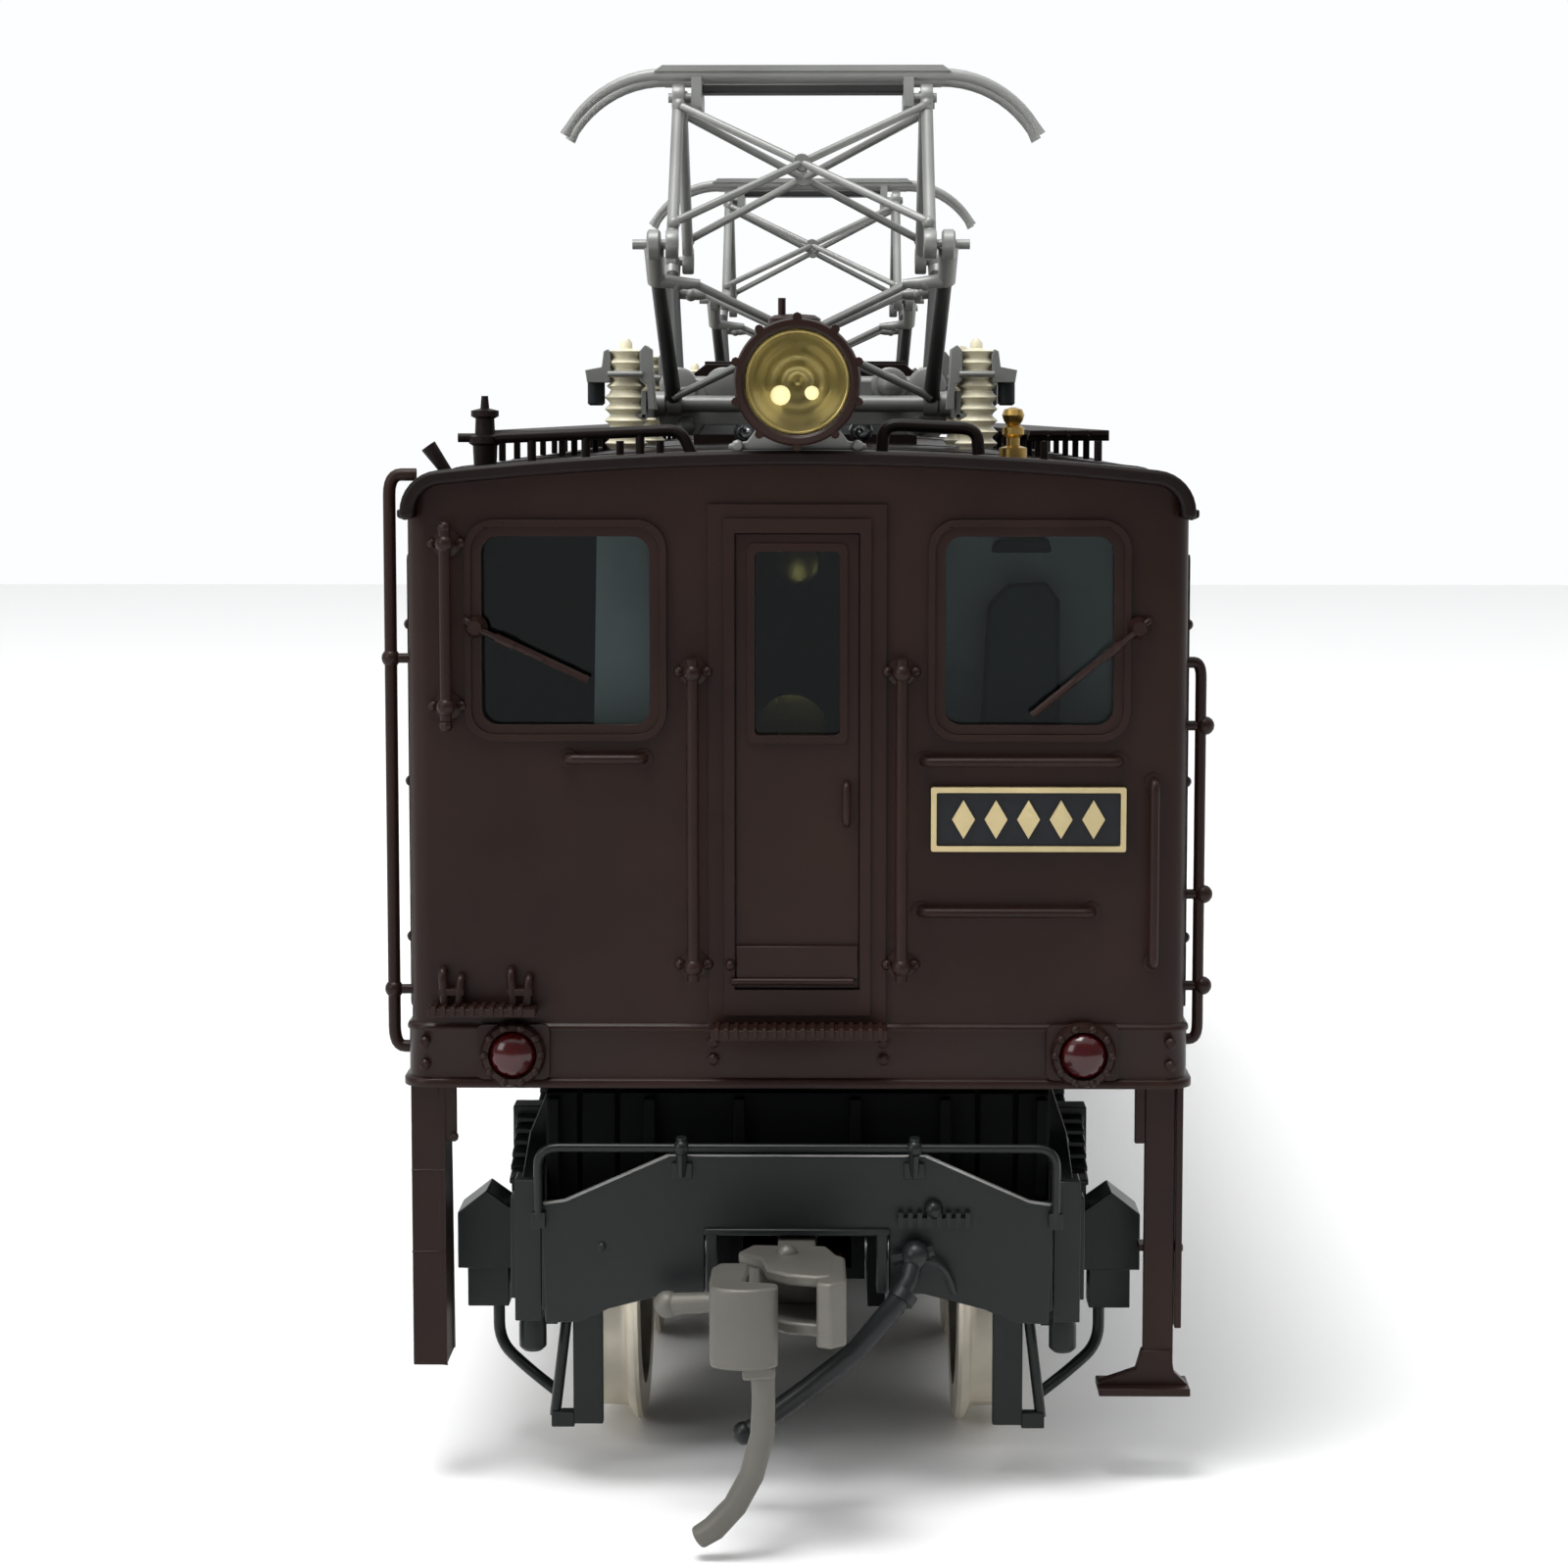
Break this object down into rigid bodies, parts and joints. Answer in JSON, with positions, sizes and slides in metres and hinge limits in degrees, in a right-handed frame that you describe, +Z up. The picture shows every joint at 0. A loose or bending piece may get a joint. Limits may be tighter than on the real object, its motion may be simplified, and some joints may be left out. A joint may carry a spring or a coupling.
{
  "type": "model electric locomotive",
  "caption": "Model electric locomotive with a box cab body, swivelling powered bogies, folding pantographs on insulators and knuckle couplers.",
  "frame": {"origin": "on the plane that the wheel flanges stand on, under the middle of the locomotive", "axes": "+Y along the track towards the rear end, +Z up, +X to the right of someone who faces the front end"},
  "size_m": [0.0366, 0.1694, 0.0651],
  "materials": {
    "body_brown": "satin",
    "frame_black": "satin",
    "pantograph_silver": "satin",
    "wheel_nickel": "polished",
    "coupler_cast": "matte",
    "motor_steel": "brushed",
    "lens_glass": "polished"
  },
  "bodies": {
    "body": {"side_panel_left": "body_brown", "side_panel_right": "body_brown", "roof_panel": "body_brown", "floor_plate": "frame_black", "roof_monitor": "body_brown", "walkway_left": "body_brown", "walkway_right": "body_brown", "motor": "motor_steel", "equipment_box_left": "frame_black", "equipment_box_right": "frame_black", "front_cab_end": "body_brown", "front_headlight": "body_brown", "front_headlight_lens": "lens_glass", "front_ladder": "body_brown", "front_step_post": "body_brown", "front_handrail_left": "body_brown", "front_handrail_right": "body_brown", "front_pantograph_base": "pantograph_silver", "rear_cab_end": "body_brown", "rear_headlight": "body_brown", "rear_headlight_lens": "lens_glass", "rear_ladder": "body_brown", "rear_step_post": "body_brown", "rear_handrail_left": "body_brown", "rear_handrail_right": "body_brown", "rear_pantograph_base": "pantograph_silver"},
    "motor_rotor": {"motor_shaft": "motor_steel"},
    "front_bogie": {"front_bogie_side_left": "frame_black", "front_bogie_side_right": "frame_black", "front_headstock": "frame_black", "front_bogie_centre_frame": "frame_black", "front_draw_box": "frame_black"},
    "front_wheelset_1": {"front_wheelset_1": "wheel_nickel"},
    "front_wheelset_2": {"front_wheelset_2": "wheel_nickel"},
    "front_wheelset_3": {"front_wheelset_3": "wheel_nickel"},
    "front_worm_shaft": {"front_worm_shaft": "motor_steel"},
    "front_coupler": {"front_coupler_head": "coupler_cast"},
    "front_knuckle": {"front_coupler_knuckle": "coupler_cast"},
    "front_pantograph_lower_near": {"front_pantograph_lower_frame_near": "pantograph_silver"},
    "front_pantograph_lower_far": {"front_pantograph_lower_frame_far": "pantograph_silver"},
    "front_pantograph_upper_near": {"front_pantograph_upper_frame_near": "pantograph_silver"},
    "front_pantograph_upper_far": {"front_pantograph_upper_frame_far": "pantograph_silver"},
    "front_pantograph_head": {"front_pantograph_head": "pantograph_silver"},
    "rear_bogie": {"rear_bogie_side_left": "frame_black", "rear_bogie_side_right": "frame_black", "rear_headstock": "frame_black", "rear_bogie_centre_frame": "frame_black", "rear_draw_box": "frame_black"},
    "rear_wheelset_1": {"rear_wheelset_1": "wheel_nickel"},
    "rear_wheelset_2": {"rear_wheelset_2": "wheel_nickel"},
    "rear_wheelset_3": {"rear_wheelset_3": "wheel_nickel"},
    "rear_worm_shaft": {"rear_worm_shaft": "motor_steel"},
    "rear_coupler": {"rear_coupler_head": "coupler_cast"},
    "rear_knuckle": {"rear_coupler_knuckle": "coupler_cast"},
    "rear_pantograph_lower_near": {"rear_pantograph_lower_frame_near": "pantograph_silver"},
    "rear_pantograph_lower_far": {"rear_pantograph_lower_frame_far": "pantograph_silver"},
    "rear_pantograph_upper_near": {"rear_pantograph_upper_frame_near": "pantograph_silver"},
    "rear_pantograph_upper_far": {"rear_pantograph_upper_frame_far": "pantograph_silver"},
    "rear_pantograph_head": {"rear_pantograph_head": "pantograph_silver"}
  },
  "joints": [
    {"name": "motor_spin", "type": "hinge", "parent": "body", "child": "motor_rotor", "pos_m": [0, 0, 0.0147], "axis": [0, 1, 0], "continuous": true},
    {"name": "front_bogie_swivel", "type": "hinge", "parent": "body", "child": "front_bogie", "pos_m": [0, -0.0439, 0.0179], "axis": [0, 0, 1], "range_deg": [-4, 4]},
    {"name": "front_wheelset_1_spin", "type": "hinge", "parent": "front_bogie", "child": "front_wheelset_1", "pos_m": [0, -0.0604, 0.0085], "axis": [1, 0, 0], "continuous": true},
    {"name": "front_wheelset_2_spin", "type": "hinge", "parent": "front_bogie", "child": "front_wheelset_2", "pos_m": [0, -0.0439, 0.0061], "axis": [1, 0, 0], "continuous": true},
    {"name": "front_wheelset_3_spin", "type": "hinge", "parent": "front_bogie", "child": "front_wheelset_3", "pos_m": [0, -0.0274, 0.0085], "axis": [1, 0, 0], "continuous": true},
    {"name": "front_worm_spin", "type": "hinge", "parent": "front_bogie", "child": "front_worm_shaft", "pos_m": [0, -0.0439, 0.0147], "axis": [0, 1, 0], "continuous": true},
    {"name": "front_coupler_swing", "type": "hinge", "parent": "front_bogie", "child": "front_coupler", "pos_m": [0, -0.0683, 0.01097], "axis": [0, 0, 1], "range_deg": [-8, 8], "stiffness_Nm_per_rad": 0.002},
    {"name": "front_knuckle_open", "type": "hinge", "parent": "front_coupler", "child": "front_knuckle", "pos_m": [-0.0027, -0.0801, 0.01045], "axis": [0, 0, -1], "range_deg": [0, 20], "stiffness_Nm_per_rad": 0.0005},
    {"name": "front_pantograph_fold", "type": "hinge", "parent": "body", "child": "front_pantograph_lower_near", "pos_m": [0, -0.047, 0.0483], "axis": [1, 0, 0], "range_deg": [-10, 36]},
    {"name": "front_pantograph_lower_far_fold", "type": "hinge", "parent": "body", "child": "front_pantograph_lower_far", "pos_m": [0, -0.043, 0.0483], "axis": [1, 0, 0], "range_deg": [-36, 10]},
    {"name": "front_pantograph_upper_near_fold", "type": "hinge", "parent": "front_pantograph_lower_near", "child": "front_pantograph_upper_near", "pos_m": [0, -0.055, 0.0559], "axis": [1, 0, 0], "range_deg": [-72, 20]},
    {"name": "front_pantograph_upper_far_fold", "type": "hinge", "parent": "front_pantograph_lower_far", "child": "front_pantograph_upper_far", "pos_m": [0, -0.035, 0.0559], "axis": [1, 0, 0], "range_deg": [-20, 72]},
    {"name": "front_pantograph_head_tilt", "type": "hinge", "parent": "front_pantograph_upper_near", "child": "front_pantograph_head", "pos_m": [0, -0.047, 0.0635], "axis": [1, 0, 0], "range_deg": [-10, 36]},
    {"name": "rear_bogie_swivel", "type": "hinge", "parent": "body", "child": "rear_bogie", "pos_m": [0, 0.0439, 0.0179], "axis": [0, 0, 1], "range_deg": [-4, 4]},
    {"name": "rear_wheelset_1_spin", "type": "hinge", "parent": "rear_bogie", "child": "rear_wheelset_1", "pos_m": [0, 0.0604, 0.0085], "axis": [1, 0, 0], "continuous": true},
    {"name": "rear_wheelset_2_spin", "type": "hinge", "parent": "rear_bogie", "child": "rear_wheelset_2", "pos_m": [0, 0.0439, 0.0061], "axis": [1, 0, 0], "continuous": true},
    {"name": "rear_wheelset_3_spin", "type": "hinge", "parent": "rear_bogie", "child": "rear_wheelset_3", "pos_m": [0, 0.0274, 0.0085], "axis": [1, 0, 0], "continuous": true},
    {"name": "rear_worm_spin", "type": "hinge", "parent": "rear_bogie", "child": "rear_worm_shaft", "pos_m": [0, 0.0439, 0.0147], "axis": [0, 1, 0], "continuous": true},
    {"name": "rear_coupler_swing", "type": "hinge", "parent": "rear_bogie", "child": "rear_coupler", "pos_m": [0, 0.0683, 0.01097], "axis": [0, 0, 1], "range_deg": [-8, 8], "stiffness_Nm_per_rad": 0.002},
    {"name": "rear_knuckle_open", "type": "hinge", "parent": "rear_coupler", "child": "rear_knuckle", "pos_m": [0.0027, 0.0801, 0.01045], "axis": [0, 0, -1], "range_deg": [0, 20], "stiffness_Nm_per_rad": 0.0005},
    {"name": "rear_pantograph_fold", "type": "hinge", "parent": "body", "child": "rear_pantograph_lower_near", "pos_m": [0, 0.047, 0.0483], "axis": [-1, 0, 0], "range_deg": [-10, 36]},
    {"name": "rear_pantograph_lower_far_fold", "type": "hinge", "parent": "body", "child": "rear_pantograph_lower_far", "pos_m": [0, 0.043, 0.0483], "axis": [-1, 0, 0], "range_deg": [-36, 10]},
    {"name": "rear_pantograph_upper_near_fold", "type": "hinge", "parent": "rear_pantograph_lower_near", "child": "rear_pantograph_upper_near", "pos_m": [0, 0.055, 0.0559], "axis": [-1, 0, 0], "range_deg": [-72, 20]},
    {"name": "rear_pantograph_upper_far_fold", "type": "hinge", "parent": "rear_pantograph_lower_far", "child": "rear_pantograph_upper_far", "pos_m": [0, 0.035, 0.0559], "axis": [-1, 0, 0], "range_deg": [-20, 72]},
    {"name": "rear_pantograph_head_tilt", "type": "hinge", "parent": "rear_pantograph_upper_near", "child": "rear_pantograph_head", "pos_m": [0, 0.047, 0.0635], "axis": [-1, 0, 0], "range_deg": [-10, 36]}
  ],
  "couplings": [
    {"joint": "motor_spin", "follows": "front_wheelset_1_spin", "ratio": 12},
    {"joint": "front_wheelset_3_spin", "follows": "front_wheelset_1_spin", "ratio": 1},
    {"joint": "front_worm_spin", "follows": "front_wheelset_1_spin", "ratio": 12},
    {"joint": "front_pantograph_lower_far_fold", "follows": "front_pantograph_fold", "ratio": -1},
    {"joint": "front_pantograph_upper_near_fold", "follows": "front_pantograph_fold", "ratio": -2},
    {"joint": "front_pantograph_upper_far_fold", "follows": "front_pantograph_fold", "ratio": 2},
    {"joint": "front_pantograph_head_tilt", "follows": "front_pantograph_fold", "ratio": 1},
    {"joint": "rear_wheelset_1_spin", "follows": "front_wheelset_1_spin", "ratio": 1},
    {"joint": "rear_wheelset_3_spin", "follows": "front_wheelset_1_spin", "ratio": 1},
    {"joint": "rear_worm_spin", "follows": "front_wheelset_1_spin", "ratio": 12},
    {"joint": "rear_pantograph_lower_far_fold", "follows": "rear_pantograph_fold", "ratio": -1},
    {"joint": "rear_pantograph_upper_near_fold", "follows": "rear_pantograph_fold", "ratio": -2},
    {"joint": "rear_pantograph_upper_far_fold", "follows": "rear_pantograph_fold", "ratio": 2},
    {"joint": "rear_pantograph_head_tilt", "follows": "rear_pantograph_fold", "ratio": 1}
  ]
}
